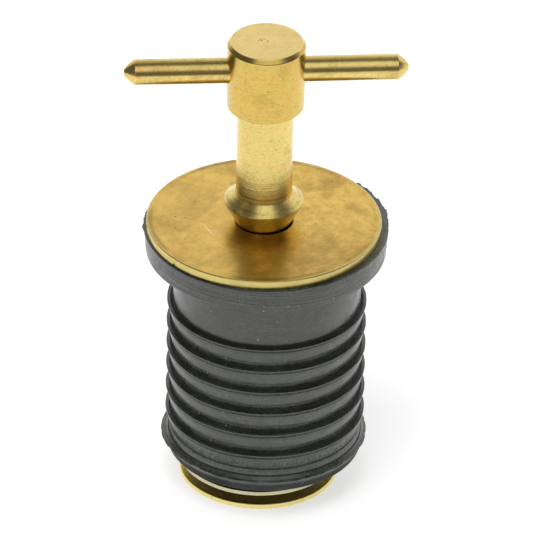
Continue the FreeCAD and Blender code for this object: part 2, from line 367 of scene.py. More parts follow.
class Net:
    """A node tree with short ways to add the usual nodes."""

    def __init__(self, tree):
        self.tree = tree

    def add(self, kind, inputs=None, **settings):
        """Adds a node, sets it up, and links or fills its inputs."""
        node = self.tree.nodes.new(kind)
        for key, value in settings.items():
            setattr(node, key, value)
        for key, value in (inputs or {}).items():
            if isinstance(value, bpy.types.NodeSocket):
                self.tree.links.new(value, node.inputs[key])
            else:
                node.inputs[key].default_value = value
        return node

    def first(self, kind, inputs=None, **settings):
        """The first output of an added node."""
        return self.add(kind, inputs, **settings).outputs[0]

    def calc(self, operation, a, b=0.0, c=0.0, clamp=False):
        """The result of a Math node."""
        return self.first("ShaderNodeMath", {0: a, 1: b, 2: c}, operation=operation, use_clamp=clamp)

    def times(self, a, b):
        return self.calc("MULTIPLY", a, b)

    def plus(self, a, b):
        return self.calc("ADD", a, b)

    def minus(self, a, b):
        return self.calc("SUBTRACT", a, b)

    def largest(self, values):
        """The largest of several values."""
        total = values[0]
        for value in values[1:]:
            total = self.calc("MAXIMUM", total, value)
        return total

    def remap(self, value, low, high, to_low=0.0, to_high=1.0, smooth=True):
        """A value mapped from one range to another, clamped."""
        kind = "SMOOTHSTEP" if smooth else "LINEAR"
        inputs = {"Value": value, "From Min": low, "From Max": high, "To Min": to_low, "To Max": to_high}
        return self.first("ShaderNodeMapRange", inputs, interpolation_type=kind)

    def mix(self, factor, a, b, mode="MIX"):
        """Mixes two colours."""
        node = self.add("ShaderNodeMix", {0: factor, 6: a, 7: b}, data_type="RGBA", blend_type=mode)
        return node.outputs[2]

    def fog(self, coordinates, scale, detail=3.0, roughness=0.55, distortion=0.0):
        """A noise value on the given coordinates."""
        inputs = {"Vector": coordinates, "Scale": scale, "Detail": detail, "Roughness": roughness}
        return self.first("ShaderNodeTexNoise", inputs | {"Distortion": distortion})

    def stretched(self, coordinates, scale):
        """Coordinates scaled by a vector."""
        return self.first("ShaderNodeVectorMath", {0: coordinates, 1: scale}, operation="MULTIPLY")

    def size_of(self, vector):
        """The length of a vector."""
        return self.add("ShaderNodeVectorMath", {0: vector}, operation="LENGTH").outputs["Value"]

    def object_place(self):
        """Object coordinates."""
        return self.add("ShaderNodeTexCoord").outputs["Object"]

    def split(self, vector):
        """The X, Y and Z of a vector."""
        return self.add("ShaderNodeSeparateXYZ", {0: vector}).outputs

    def flattened(self, parts):
        """Coordinates without their height, and the distance from the axis."""
        flat = self.first("ShaderNodeCombineXYZ", {"X": parts["X"], "Y": parts["Y"]})
        return flat, self.size_of(flat)

    def group(self, maker, inputs):
        """Places a shared shader group and gives its outputs."""
        return self.add("ShaderNodeGroup", inputs, node_tree=made_once(maker)).outputs

    def give(self, **results):
        """Hands the results to the outputs of a group."""
        for label, socket in results.items():
            self.tree.links.new(socket, self.out[label])

    def finish(self, geometry, material, label):
        """Ends a geometry tree: realizes the copies, sets the material and hands the result out."""
        solid = self.first("GeometryNodeRealizeInstances", {0: geometry})
        self.give(**{label: self.first("GeometryNodeSetMaterial", {"Geometry": solid, "Material": material})})


SOCKETS = {float: "Float", int: "Int", tuple: "Color"}


def new_group(name, inputs, outputs, kind="ShaderNodeTree"):
    """An empty node group with named sockets. A socket's kind follows its value, or is named in its place."""
    net = Net(bpy.data.node_groups.new(name, kind))
    for label, value in inputs.items():
        named = isinstance(value, str)
        socket = value if named else SOCKETS[type(value)]
        item = net.tree.interface.new_socket(label, in_out="INPUT", socket_type="NodeSocket" + socket)
        if not named:
            item.default_value = value
    for label, socket in outputs.items():
        net.tree.interface.new_socket(label, in_out="OUTPUT", socket_type="NodeSocket" + socket)
    net.given = net.add("NodeGroupInput").outputs
    net.out = net.add("NodeGroupOutput").inputs
    return net


def made_once(maker):
    """A node group with its maker's name, built the first time it is asked for."""
    return bpy.data.node_groups.get(maker.__name__) or maker(maker.__name__)


def tarnish(name):
    """Cloudy tarnish on brass: a colour, and how dull the spot is."""
    net = new_group(name, {
        "Clean": (0.8, 0.6, 0.2, 1), "Dull": (0.4, 0.25, 0.06, 1), "Scale": 120.0, "Start": 0.45, "End": 0.75,
        "Amount": 0.5}, {"Colour": "Color", "Dullness": "Float"})
    given, place = net.given, net.object_place()
    wide = net.fog(place, given["Scale"], detail=5.0, roughness=0.6, distortion=0.6)
    fine = net.fog(place, net.times(given["Scale"], 7.0), detail=4.0, roughness=0.65)
    clouds = net.plus(net.times(wide, 0.7), net.times(fine, 0.3))
    spots = net.remap(clouds, given["Start"], given["End"])
    dull = net.calc("MULTIPLY", spots, given["Amount"], clamp=True)
    net.give(Colour=net.mix(dull, given["Clean"], given["Dull"]), Dullness=dull)
    return net.tree


def turning(name):
    """Fine rings that a cutting tool or a mould leaves: a height, and a light and dark shade."""
    net = new_group(name, {"Rings": 4000.0, "Detail": 4.0}, {"Height": "Float", "Shade": "Float"})
    place = net.object_place()
    parts = net.split(place)
    radius = net.flattened(parts)[1]
    way = net.plus(parts["Z"], net.times(radius, 1.37))
    drift = net.times(net.fog(place, 140.0, detail=1.0), 0.4 * MM)
    where = net.times(net.plus(way, drift), net.given["Rings"])
    inputs = {"W": where, "Scale": 1.0, "Detail": net.given["Detail"]}
    lines = net.first("ShaderNodeTexNoise", inputs, noise_dimensions="1D")
    broken = net.remap(net.fog(place, 300.0, detail=2.0), 0.3, 0.7)
    net.give(Height=lines, Shade=net.plus(net.times(net.minus(lines, 0.5), broken), 0.5))
    return net.tree


def specks(name):
    """Scattered small specks, by cells of uneven size."""
    net = new_group(name, {"Scale": 900.0, "Size": 0.2, "Share": 0.2}, {"Mask": "Float"})
    place = net.object_place()
    bent = net.add("ShaderNodeTexNoise", {"Vector": place, "Scale": 2500.0, "Detail": 1.0}).outputs["Color"]
    bent = net.stretched(bent, (0.4 * MM,) * 3)
    moved = net.first("ShaderNodeVectorMath", {0: place, 1: bent}, operation="ADD")
    cells = net.add("ShaderNodeTexVoronoi", {"Vector": moved, "Scale": net.given["Scale"]}).outputs
    near = net.calc("LESS_THAN", cells["Distance"], net.given["Size"])
    chosen = net.calc("LESS_THAN", net.first("ShaderNodeSeparateColor", {0: cells["Color"]}), net.given["Share"])
    net.give(Mask=net.times(near, chosen))
    return net.tree


def marks(net, flat, places):
    """A mask of single marks. Each is (x, y, half length, half width, angle) in millimetres and degrees."""
    masks = []
    for x, y, long_half, wide_half, angle in places:
        local = net.first("ShaderNodeMapping", {
            "Vector": flat,
            "Location": (x * MM, y * MM, 0),
            "Rotation": (0, 0, math.radians(angle)),
            "Scale": (long_half * MM, wide_half * MM, 1.0),
        }, vector_type="TEXTURE")
        masks.append(net.remap(net.size_of(local), 1.0, 0.55))
    return net.largest(masks)


def blank_material(name):
    """A material without nodes, and its net."""
    material = bpy.data.materials.new(name)
    material.use_nodes = True
    material.node_tree.nodes.clear()
    return material, Net(material.node_tree)


def rgba(value, factor=1.0):
    """A colour with full alpha, lightened or darkened."""
    return (value[0] * factor, value[1] * factor, value[2] * factor, 1.0)


class Coat(Net):
    """A material at work, with the colour, the roughness and the height that it has so far."""

    def __init__(self, name):
        self.material, net = blank_material(name)
        super().__init__(net.tree)
        self.shader = self.add("ShaderNodeBsdfPrincipled")
        self.add("ShaderNodeOutputMaterial", {"Surface": self.shader.outputs[0]})
        self.place = self.object_place()

    def corners(self):
        """Masks of the rounded edges and of the rounded hollows, from the piece's own attribute."""
        value = self.add("ShaderNodeAttribute", attribute_name="corner").outputs["Fac"]
        return self.remap(value, 0.15, 0.9), self.remap(value, -0.15, -0.9)

    def paint(self, mask, colour, share=1.0, tone=1.0, mode="MIX"):
        """Lays a colour on where the mask is bright."""
        factor = mask if share == 1.0 else self.times(mask, share)
        self.body = self.mix(factor, self.body, rgba(colour, tone), mode)

    def dull(self, mask, share):
        """Makes the surface rougher where the mask is bright."""
        self.gloss = self.plus(self.gloss, self.times(mask, share))

    def lift(self, mask, share):
        """Raises the surface where the mask is bright, or lowers it with a negative share."""
        self.level = self.plus(self.level, self.times(mask, share))

    def done(self, depth=None, **constants):
        """Joins all to the shader. The depth of the relief is in millimetres."""
        links = {"Base Color": self.body, "Roughness": self.gloss}
        if depth:
            inputs = {"Height": self.level, "Strength": 1.0, "Distance": depth * MM}
            links["Normal"] = self.first("ShaderNodeBump", inputs)
        for label, socket in links.items():
            self.tree.links.new(socket, self.shader.inputs[label])
        for label, value in constants.items():
            self.shader.inputs[label].default_value = value
        return self.material


# How strongly the reddish, greenish and gritty clouds tint all brass
MOTTLE = 0.6


def brass_material(name, clean, look, depth, dull, gloss, cloud, rings=None, along=None, start=0.45, end=0.75,
                   wear=0.5, extra=None):
    """Brass with tool marks, clouds of tarnish, pits, bright worn edges and darker hollows."""
    coat = Coat(name)
    place = coat.place
    stained = coat.group(tarnish, {
        "Clean": rgba(clean), "Dull": rgba(look.dull_brass), "Scale": cloud, "Start": start, "End": end,
        "Amount": dull})
    if along:
        height = shade = coat.fog(coat.stretched(place, along), 1.0, detail=4.0, roughness=0.6)
    else:
        turned = coat.group(turning, {"Rings": rings})
        height, shade = turned["Height"], turned["Shade"]
    pits = coat.group(specks, {"Scale": 1300.0, "Size": 0.17, "Share": 0.10})["Mask"]
    edge_wear_and_highlight, hollow_mask = coat.corners()
    tone = coat.remap(shade, 0.3, 0.7, 0.9, 1.08, smooth=False)
    tint = coat.first("ShaderNodeCombineColor", {0: tone, 1: tone, 2: tone})
    coat.body = coat.mix(1.0, stained["Colour"], tint, "MULTIPLY")
    hue = coat.fog(place, 420.0, detail=5.0, roughness=0.7, distortion=0.5)
    grit = coat.fog(place, 2200.0, roughness=0.7)
    coat.paint(coat.remap(hue, 0.5, 0.66, 0.0, MOTTLE), look.copper_tint, mode="MULTIPLY")
    coat.paint(coat.remap(hue, 0.5, 0.34, 0.0, MOTTLE), look.olive_tint, mode="MULTIPLY")
    coat.paint(coat.remap(grit, 0.52, 0.68, 0.0, MOTTLE), look.grit_tint, mode="MULTIPLY")
    coat.paint(edge_wear_and_highlight, look.pale_brass, wear)
    # The rounded hollows are painted darker
    coat.paint(hollow_mask, look.dull_brass, 0.6, tone=0.6)
    coat.paint(pits, look.dull_brass, 0.35, tone=0.45)
    coat.gloss = coat.remap(stained["Dullness"], 0.0, 1.0, *gloss, smooth=False)
    coat.dull(coat.minus(shade, 0.5), 0.12)
    coat.level = height
    coat.lift(coat.fog(place, 1500.0), 0.35)
    coat.lift(pits, -0.8)
    if extra:
        extra(coat, look)
    return coat.done(depth, Metallic=1.0)


# From the rubber's bottom face up to the seam, in millimetres. The band's marks start there.
SEAM_RISE = 3.9
RUBBER_IOR = 1.79


def rubber_material(look):
    """Black moulded rubber: grey film of dust, mould lines, speckled band, chalky specks, a painted highlight on the
    rounded edges and painted shade in the hollows and on the tail.
    """
    coat = Coat("black_rubber")
    place = coat.place
    height = coat.split(place)["Z"]
    seam = RUBBER_LOW[2] + SEAM_RISE * MM

    def zone(low, high, base=seam):
        """A mask that grows from the height low to high, both in millimetres from the base."""
        return coat.remap(height, base + low * MM, base + high * MM)

    turned = coat.group(turning, {"Rings": 2600.0, "Detail": 3.0})
    edge_wear_and_highlight, hollow_mask = coat.corners()
    film = coat.remap(coat.fog(place, 160.0, detail=5.0, roughness=0.65, distortion=0.4), 0.35, 0.7, 0.25, 0.75)
    fine = coat.remap(coat.fog(place, 1700.0, detail=4.0, roughness=0.75), 0.35, 0.65, -0.35, 0.35)
    drawn = coat.fog(coat.stretched(place, (260.0, 260.0, 2600.0)), 1.0, detail=4.0, roughness=0.7)
    streaks = coat.remap(drawn, 0.35, 0.65, -0.3, 0.3)
    film = coat.calc("ADD", coat.plus(film, fine), streaks, clamp=True)
    coat.body = coat.mix(film, rgba(look.rubber), rgba(look.rubber_dusty))
    band = coat.times(zone(0.8, 2.0), zone(4.0, 3.2))
    speckled = coat.times(band, coat.remap(coat.fog(place, 1900.0, roughness=0.7), 0.46, 0.58))
    coat.paint(speckled, look.rubber, 0.7, tone=0.7)
    # Painted highlight: the rounded edges are lightened with the dust colour in broken streaks
    broken = coat.remap(coat.fog(place, 900.0, roughness=0.7), 0.35, 0.6, 0.25, 0.8)
    coat.paint(coat.times(edge_wear_and_highlight, broken), look.rubber_dusty, tone=1.75)
    coat.paint(band, look.rubber_dusty, 0.35, tone=1.5)
    chalk = coat.group(specks, {"Scale": 700.0, "Size": 0.13, "Share": 0.05})["Mask"]
    coat.paint(chalk, look.crumb, 0.6)
    coat.gloss = coat.remap(coat.fog(place, 420.0, detail=4.0), 0.3, 0.7, 0.19, 0.34)
    # Painted shade: the rounded hollows and the tail below the seam are darkened and made rougher
    shaded = coat.largest([hollow_mask, zone(-0.2, -1.0)])
    coat.paint(shaded, look.rubber, 0.8, tone=0.4)
    coat.dull(shaded, 0.6)
    flange = zone(-4.5, -3.7, RUBBER_HIGH[2])
    coat.paint(coat.times(coat.remap(turned["Shade"], 0.52, 0.40), flange), look.rubber, 0.85, tone=0.4)
    coat.level = coat.times(turned["Height"], coat.remap(flange, 0.0, 1.0, 0.5, 5.0, smooth=False))
    coat.lift(coat.fog(place, 2600.0, roughness=0.6), 0.5)
    coat.lift(speckled, -1.6)
    return coat.done(0.028, IOR=RUBBER_IOR)


def crumb_material(look):
    """Chalky specks with uneven tone."""
    coat = Coat("crumbs")
    tone = coat.fog(coat.place, 350.0, detail=2.0)
    coat.body = coat.mix(coat.remap(tone, 0.35, 0.65), rgba(look.crumb), rgba(look.crumb, 1.6))
    coat.gloss = coat.remap(tone, 0.3, 0.7, 0.7, 0.95)
    return coat.done()


# Geometry nodes


def run_nodes(obj, tree, values):
    """Runs a geometry tree on the object, gives the plain mesh and removes the object."""
    modifier = obj.modifiers.new(tree.name, "NODES")
    modifier.node_group = tree
    for item in tree.interface.items_tree:
        if item.in_out == "INPUT" and item.name in values:
            modifier[item.identifier] = values[item.name]
    return applied(obj, modifier)


def rib_stack(name):
    """Copies one rib's wall downwards, pitch by pitch."""
    net = new_group(name, {"Rib": "Geometry", "Count": 5, "Pitch": 3.9 * MM, "Rubber": "Material"},
                    {"Ribs": "Geometry"}, "GeometryNodeTree")
    given = net.given
    step = net.first("ShaderNodeCombineXYZ", {"Z": net.times(given["Pitch"], -1.0)})
    line = net.first("GeometryNodeMeshLine", {"Count": given["Count"], "Offset": step})
    copies = net.first("GeometryNodeInstanceOnPoints", {"Points": line, "Instance": given["Rib"]})
    solid = net.first("GeometryNodeRealizeInstances", {0: copies})
    joined = net.first("GeometryNodeMergeByDistance", {"Geometry": solid, "Distance": 0.0004 * MM})
    net.finish(joined, given["Rubber"], "Ribs")
    return net.tree


def v_thread(name):
    """A right-hand V thread: a strip three points wide that winds up about Z, each turn meeting the last."""
    net = new_group(name, {
        "Crest": 3.15 * MM, "Root": 2.55 * MM, "Pitch": 1.27 * MM, "Turns": 30.0, "Steps": 900, "Low": 1.0 * MM,
        "Brass": "Material"}, {"Thread": "Geometry"}, "GeometryNodeTree")
    given = net.given
    strip = {"Size X": 1.0, "Size Y": 2.0, "Vertices X": given["Steps"], "Vertices Y": 3}
    grid = net.first("GeometryNodeMeshGrid", strip)
    spot = net.split(net.first("GeometryNodeInputPosition"))
    turns = net.times(net.plus(spot["X"], 0.5), given["Turns"])
    angle = net.times(turns, TAU)
    fade = net.calc("MINIMUM", net.calc("MINIMUM", turns, net.minus(given["Turns"], turns)), 1.0)
    ridge = net.times(net.minus(1.0, net.calc("ABSOLUTE", spot["Y"])), fade)
    radius = net.calc("MULTIPLY_ADD", ridge, net.minus(given["Crest"], given["Root"]), given["Root"])
    rise = net.plus(turns, net.times(spot["Y"], 0.5))
    place = net.first("ShaderNodeCombineXYZ", {
        "X": net.times(radius, net.calc("COSINE", angle)),
        "Y": net.times(radius, net.calc("SINE", angle)),
        "Z": net.calc("MULTIPLY_ADD", rise, given["Pitch"], given["Low"])})
    wound = net.first("GeometryNodeSetPosition", {"Geometry": grid, "Position": place})
    joined = net.first("GeometryNodeMergeByDistance", {"Geometry": wound, "Distance": 0.001 * MM})
    net.finish(joined, given["Brass"], "Thread")
    return net.tree


def crumbs(name):
    """Sets a small lump on each given point, turned and sized at random from a fixed seed."""
    net = new_group(name, {"Points": "Geometry", "Size": 0.1 * MM, "Seed": 7, "Chalk": "Material"},
                    {"Crumbs": "Geometry"}, "GeometryNodeTree")
    given = net.given

    def chance(low, high):
        """A random vector for each point."""
        inputs = {0: low, 1: high, "Seed": given["Seed"]}
        return net.first("FunctionNodeRandomValue", inputs, data_type="FLOAT_VECTOR")

    lump = net.first("GeometryNodeMeshIcoSphere", {"Radius": given["Size"], "Subdivisions": 1})
    own = net.first("GeometryNodeInputNamedAttribute", {"Name": "lump"}, data_type="FLOAT")
    squash = chance((0.6, 0.6, 0.5), (1.5, 1.1, 0.9))
    size = net.first("ShaderNodeVectorMath", {0: squash, "Scale": own}, operation="SCALE")
    copies = net.first("GeometryNodeInstanceOnPoints", {
        "Points": given["Points"], "Instance": lump, "Rotation": chance((0, 0, 0), (TAU, TAU, TAU)), "Scale": size})
    net.finish(copies, given["Chalk"], "Crumbs")
    return net.tree


# Divisions in one turn of a thread
THREAD_STEPS = 28


def thread_piece(name, sizes, crest, root, low, turns, material, inward=False):
    """A thread as its own piece. The thread of a hole faces inward."""
    blank = linked_object("thread_blank", bpy.data.meshes.new("thread_blank"))
    mesh = run_nodes(blank, made_once(v_thread), {
        "Crest": crest * MM, "Root": root * MM, "Pitch": sizes.thread_pitch * MM, "Turns": turns,
        "Steps": int(turns * THREAD_STEPS), "Low": low * MM, "Brass": material})
    if inward:
        mesh.flip_normals()
    return piece(name, mesh, material, 50.0)


# Pieces


class PLUG_OT_spindle(Operator):
    """Turned spindle with head, shank, double-cone collar and threaded stud"""

    bl_idname = "plug.spindle"
    bl_label = "Make spindle"

    def execute(self, context):
        group, look = context.scene.plug_metal, context.scene.plug_finish
        sizes = Millimetres(group)
        plate, top, low = PLATE_HIGH[2] / MM, SPINDLE_HIGH[2] / MM, SPINDLE_LOW[2] / MM
        seat = plate - 0.02
        ring = plate + sizes.collar_rise
        head_low = top - sizes.head_height
        outline = soften((
            (0.0, low, 0.0),
            (sizes.stud_core - 0.35, low, 0.1),
            (sizes.stud_core, low + 0.35, 0.05),
            (sizes.stud_core, plate - 1.6, 0.1),
            (sizes.stud, plate - 1.0, 0.1),
            (sizes.stud, seat, 0.1),
            (sizes.cone_foot, seat, 0.2),
            (sizes.collar, ring - 0.1, 0.14),
            (sizes.collar, ring + 0.1, 0.05),
            (sizes.shank, plate + sizes.collar_top, 0.18),
            (sizes.shank, head_low, 0.1),
            (sizes.head_foot, head_low, 0.16),
            (sizes.head, top - sizes.chamfer_drop, 0.3),
            (sizes.head - sizes.chamfer, top, 0.1),
            (0.0, top, 0.0),
        ), closed=False, arc_steps=6, run=0.7)
        brass = brass_material("turned_brass", look.brass, look, depth=0.007, dull=0.4, gloss=(0.24, 0.36),
                               cloud=150.0, rings=5200.0, extra=shank_rings)
        body = drill_head(turned_mesh("spindle_blank", outline, group.steps, closed=False), sizes)
        settle(piece("turned_spindle", body, brass), "handle", "turned_brass", "spindle")
        turns = (plate - 2.2 - low) / sizes.thread_pitch
        thread = thread_piece("stud_thread", sizes, sizes.stud, sizes.stud_core - 0.01, low + 1.0, turns, brass)
        settle(thread, "handle", "turned_brass")
        return {"FINISHED"}


def drill_head(mesh, sizes):
    """Cuts the cross hole for the bar through the head, with a small countersink at each mouth."""
    reach = sizes.head + 1.0
    wide = sizes.bar + 0.02
    mouth = sizes.head - 0.42
    drill = turned_mesh("drill", (
        (0.0, -reach, 0.0), (wide + 0.9, -reach, 0.0), (wide, -mouth, 0.0), (wide, mouth, 0.0),
        (wide + 0.9, reach, 0.0), (0.0, reach, 0.0)), 96, closed=False)
    laid_along_x(drill, (BAR_LOW[2] + BAR_HIGH[2]) / 2)
    cutter = linked_object("drill", drill)
    blank = linked_object("blank", mesh)
    cut = blank.modifiers.new("drill", "BOOLEAN")
    cut.operation = "DIFFERENCE"
    cut.solver = "EXACT"
    cut.object = cutter
    made = applied(blank, cut)
    bpy.data.objects.remove(cutter)
    return made


# Marks in the middle of the head's top: x, y, half length, half width and angle
CENTRE_MARKS = (
    (-0.75, 0.35, 0.22, 0.16, 20), (0.2, 0.1, 0.2, 0.17, -30), (-0.95, 0.6, 0.5, 0.08, 60),
    (-0.35, 0.75, 0.28, 0.08, -20), (0.05, -0.25, 0.16, 0.07, 80), (-1.3, 0.2, 0.14, 0.1, 10),
)


def shank_rings(coat, look):
    """Coarser tool marks on the lower shank, and a few centre marks and nicks on the head."""
    parts = coat.split(coat.place)
    height = parts["Z"]
    faint, full = PLATE_HIGH[2] + 13.5 * MM, PLATE_HIGH[2] + 6.5 * MM
    low = coat.remap(height, faint, full, 0.15, 1.0)
    below_head = coat.calc("LESS_THAN", height, SPINDLE_HIGH[2] - 11.4 * MM)
    zone = coat.times(low, below_head)
    grooves = coat.group(turning, {"Rings": 2300.0, "Detail": 2.0})
    coat.lift(coat.times(grooves["Height"], zone), 3.0)
    coat.paint(coat.times(coat.remap(grooves["Shade"], 0.46, 0.36), zone), look.groove, 0.45)
    top = coat.calc("GREATER_THAN", height, SPINDLE_HIGH[2] - 0.1 * MM)
    side = coat.times(coat.minus(1.0, below_head), coat.minus(1.0, top))
    coat.paint(side, look.head_side, mode="MULTIPLY")
    patchy = coat.remap(coat.fog(coat.place, 650.0, detail=4.0, roughness=0.7), 0.35, 0.65, 0.45, 0.95)
    coat.paint(coat.times(top, patchy), look.head_top)
    centre = coat.times(marks(coat, coat.flattened(parts)[0], CENTRE_MARKS), top)
    coat.paint(centre, look.centre_mark, 0.85)
    coat.lift(centre, -2.0)


class PLUG_OT_bar(Operator):
    """Drawn cross bar with bullet ends"""

    bl_idname = "plug.bar"
    bl_label = "Make cross bar"

    def execute(self, context):
        sizes = Millimetres(context.scene.plug_metal)
        look = context.scene.plug_finish
        half = (BAR_HIGH[0] - BAR_LOW[0]) / 2 / MM
        tip = half - sizes.bar_tip
        nose, side = (sizes.bar_nose, half - 0.02), (sizes.bar, tip)
        low_nose, low_side = (nose[0], -nose[1]), (side[0], -side[1])
        sag = 0.11
        corners = [(0.0, -half, 0.0), (*low_nose, 0.22)]
        corners += bend_between(low_nose, low_side, sag, 5)
        corners += [(*low_side, 0.18), (*side, 0.18)]
        corners += bend_between(side, nose, sag, 5)
        corners += [(*nose, 0.22), (0.0, half, 0.0)]
        outline = soften(corners, closed=False, arc_steps=4, run=0.4)

        def drawn(angle, r, z):
            """The bar is a little out of true along its length."""
            wave = 0.010 * noise.noise(Vector((math.cos(angle), math.sin(angle), z * 0.23)))
            return r + wave * min(1.0, r), z

        mesh = turned_mesh("bar_blank", outline, 96, closed=False, shape=drawn)
        laid_along_x(mesh, (BAR_LOW[2] + BAR_HIGH[2]) / 2)
        brass = brass_material("bar_brass", look.bar_brass, look, depth=0.006, dull=0.6, gloss=(0.25, 0.3),
                               cloud=200.0, along=(90.0, 2600.0, 2600.0))
        settle(piece("cross_bar", mesh, brass), "handle", "bar_brass", "tee_bar")
        return {"FINISHED"}


class PLUG_OT_plate(Operator):
    """Stamped top plate with a rolled edge"""

    bl_idname = "plug.plate"
    bl_label = "Make top plate"

    def execute(self, context):
        sizes = Millimetres(context.scene.plug_metal)
        look = context.scene.plug_finish
        low, high = PLATE_LOW[2] / MM, PLATE_HIGH[2] / MM
        edge = (PLATE_HIGH[0] - PLATE_LOW[0]) / 2 / MM
        outline = soften((
            (sizes.plate_hole, low, 0.06),
            (edge, low, 0.08),
            (edge, high, 0.16),
            (sizes.plate_hole, high, 0.12),
        ), run=0.5)

        def stamped(angle, r, z):
            """The rim wavers a little and has a nick. The top dips and swells slightly."""
            rim = max(0.0, (r - edge + 1.2) / 1.2)
            r -= rim * (0.02 + 0.02 * rough(angle, 2.5, 4.0)) + 0.12 * rim * near_angle(angle, 216.0, 1.3)
            if z > low + 0.6:
                place = Vector((r * math.cos(angle), r * math.sin(angle), 3.0)) * 0.16
                z -= 0.012 + 0.012 * noise.noise(place) + 0.02 * rim * max(0.0, rough(angle, 1.6, 9.0))
            return r, z

        mesh = turned_mesh("plate_blank", outline, 360, shift=sizes.plate_shift, shape=stamped)
        brass = brass_material("sheet_brass", look.sheet_brass, look, depth=0.006, dull=0.75, gloss=(0.27, 0.40),
                               cloud=75.0, rings=900.0, start=0.40, end=0.68, wear=0.12, extra=plate_stains)
        settle(piece("cover_plate", mesh, brass), "plug", "sheet_brass", "top_plate")
        return {"FINISHED"}


# Pits and scratches on the plate: x, y, half length, half width and angle
PLATE_PITS = (
    (-13.6, 1.4, 0.22, 0.16, 0), (-12.1, 1.0, 0.16, 0.14, 0), (-14.8, 0.0, 0.16, 0.14, 0),
    (-12.8, -0.4, 0.18, 0.14, 0), (-13.8, -1.8, 0.2, 0.15, 0), (-11.7, -1.7, 0.15, 0.12, 0),
    (-12.4, -5.2, 0.2, 0.13, 0),
)
PLATE_SCRATCHES = ((-8.7, -2.6, 2.3, 0.14, 112), (-8.2, -3.9, 0.7, 0.13, 125))


def plate_stains(coat, look):
    """A lighter left half, pits, scratches and a dark line on the plate's top, and its pale cut rim."""
    parts = coat.split(coat.place)
    flat, radius = coat.flattened(parts)
    top = coat.calc("GREATER_THAN", parts["Z"], PLATE_HIGH[2] - 0.12 * MM)
    pits = coat.times(top, marks(coat, flat, PLATE_PITS))
    scratches = coat.times(top, marks(coat, flat, PLATE_SCRATCHES))
    broken = coat.remap(coat.fog(coat.place, 95.0, detail=4.0, roughness=0.6), 0.35, 0.6)
    ring = coat.times(coat.remap(radius, 16.9 * MM, 17.5 * MM), coat.remap(radius, 18.0 * MM, 17.6 * MM))
    left = coat.remap(parts["X"], 6.0 * MM, -12.0 * MM)
    coat.paint(coat.times(left, top), look.plate_left, 0.25)
    coat.paint(coat.times(coat.times(ring, top), broken), look.plate_ring, 0.5)
    coat.paint(pits, look.pit, 0.75)
    coat.paint(scratches, look.scratch, 0.7)
    coat.paint(coat.calc("GREATER_THAN", radius, 17.95 * MM), look.plate_rim, 0.8)
    coat.lift(pits, -2.5)


class PLUG_OT_rubber(Operator):
    """Ribbed rubber body with barbed ribs, torn seam fin and skirt, and its specks of dust"""

    bl_idname = "plug.rubber"
    bl_label = "Make rubber"

    def execute(self, context):
        group, look = context.scene.plug_rubber, context.scene.plug_finish
        sizes = Millimetres(group)
        rubber = rubber_material(look)
        wall = turned_mesh("rib_wall", rib_outline(sizes, sizes.first_crest), group.steps, sizes.shift, closed=False)
        stack = run_nodes(linked_object("rib_wall", wall), made_once(rib_stack), {
            "Count": group.ribs, "Pitch": group.pitch, "Rubber": rubber})
        rest = turned_mesh("rubber_rest", rest_outline(sizes, group.ribs), group.steps, sizes.shift, closed=False)
        bm = bmesh.new()
        bm.from_mesh(stack)
        bm.from_mesh(rest)
        mould(bm, sizes)
        body = piece("ribbed_rubber", weld(bm, "ribbed_rubber"), rubber, 50.0)
        stretch(body, group)
        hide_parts("rubber_plug")
        stretch(crumbs_on(body.data, sizes, look), group)
        return {"FINISHED"}


def stretch(obj, group):
    """Bakes the rubber's transform into its mesh."""
    start = (group.shift, 0, group.flange_low)
    end = (group.shift, 0, group.counterbore_top)
    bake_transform(obj)


def rib_wall(sizes, lower, upper):
    """The wall of a rib from its groove up to its crest: a taper, a slight bulge and a slight hollow."""
    bulge = (sizes.bulge, upper - 1.3)
    waist = (sizes.waist, lower + 1.15)
    return [
        (*waist, 0.6), *bend_between(waist, bulge, 0.02, 4), (*bulge, 0.3), (sizes.hollow, upper - 0.62, 0.2),
        (sizes.crest, upper - sizes.land, 0.05), (sizes.crest, upper, 0.06), (sizes.hollow, upper, 0.0)]


def rib_outline(sizes, upper):
    """One rib's wall, from the ledge below it up to its crest and over its edge."""
    lower = upper - sizes.pitch
    corners = [(sizes.hollow, lower, 0.0), (sizes.core, lower, sizes.fillet)]
    return soften(corners + rib_wall(sizes, lower, upper), closed=False, arc_steps=3)


def rest_outline(sizes, ribs):
    """The rest of the rubber, from the first crest up over the flange, down the bore and up to the last crest."""
    top, low = RUBBER_HIGH[2] / MM, RUBBER_LOW[2] / MM
    last_crest = sizes.first_crest - ribs * sizes.pitch
    band_low = sizes.seam + 0.75
    corners = [
        (sizes.hollow, sizes.first_crest, 0.0),
        (sizes.core, sizes.first_crest, sizes.fillet + 0.1),
        (sizes.core, sizes.flange_low, 0.3),
        (sizes.flange_foot, sizes.flange_low, 0.16),
        (sizes.flange, top, 0.1),
        (sizes.bore, top, 0.15),
        (sizes.bore, sizes.counterbore_top, 0.1),
        (sizes.counterbore, sizes.counterbore_top, 0.1),
        (sizes.counterbore, low, 0.12),
        (sizes.foot, low, 0.2),
        (sizes.tail, low + sizes.tail_rise, 0.8),
        (sizes.skirt, sizes.seam - 0.22, 0.05),
        (sizes.fin, sizes.seam - 0.06, 0.0),
        (sizes.fin, sizes.seam + 0.04, 0.0),
        (sizes.skirt - 0.1, sizes.seam + 0.2, 0.05),
        (sizes.band, band_low, 0.4),
    ]
    return soften(corners + rib_wall(sizes, band_low, last_crest), closed=False, arc_steps=3, run=1.1)


